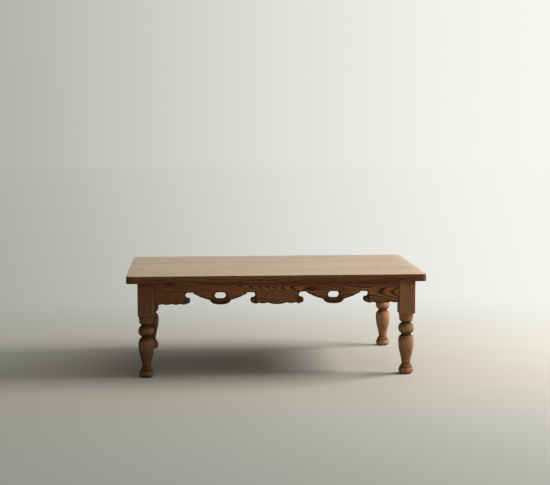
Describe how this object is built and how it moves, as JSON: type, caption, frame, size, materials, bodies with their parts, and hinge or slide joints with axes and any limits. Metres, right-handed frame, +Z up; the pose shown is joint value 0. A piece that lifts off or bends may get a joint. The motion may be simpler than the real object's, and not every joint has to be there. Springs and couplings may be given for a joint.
{
  "type": "low table",
  "caption": "Low rectangular floor table with a plain board top, turned legs under square blocks, and fretted aprons with hooked ends, hanging lobes and pierced ovals.",
  "frame": {"origin": "on the floor, under the middle of the top", "axes": "+X along the table's length, to the right seen from the front; +Y from the front to the back; +Z up"},
  "size_m": [1.12, 0.7, 0.382],
  "materials": {
    "top_wood": "worn satin oil on pale brown ring-porous hardwood, grain along the table",
    "leg_wood": "mid brown satin stain on ring-porous hardwood, grain along the leg",
    "apron_wood": "dark red-brown satin stain, cathedral grain along the apron",
    "inner_wood": "unfinished planed softwood, aged",
    "screw_steel": "dulled bare steel"
  },
  "bodies": {
    "root": {"top_board_front": "top_wood", "top_board_middle": "top_wood", "top_board_back": "top_wood", "top_tongue_front": "inner_wood", "top_tongue_back": "inner_wood", "leg_front_left": "leg_wood", "leg_front_right": "leg_wood", "leg_back_left": "leg_wood", "leg_back_right": "leg_wood", "apron_front": "apron_wood", "apron_back": "apron_wood", "apron_left": "apron_wood", "apron_right": "apron_wood", "bearer_left": "inner_wood", "bearer_middle": "inner_wood", "bearer_right": "inner_wood", "button_front_left": "inner_wood", "button_front_right": "inner_wood", "button_back_left": "inner_wood", "button_back_right": "inner_wood", "button_left_front": "inner_wood", "button_left_back": "inner_wood", "button_right_front": "inner_wood", "button_right_back": "inner_wood", "corner_block_front_left": "inner_wood", "corner_block_front_right": "inner_wood", "corner_block_back_left": "inner_wood", "corner_block_back_right": "inner_wood", "button_screws": "screw_steel", "bearer_screws": "screw_steel", "corner_block_screws": "screw_steel"}
  },
  "joints": []
}
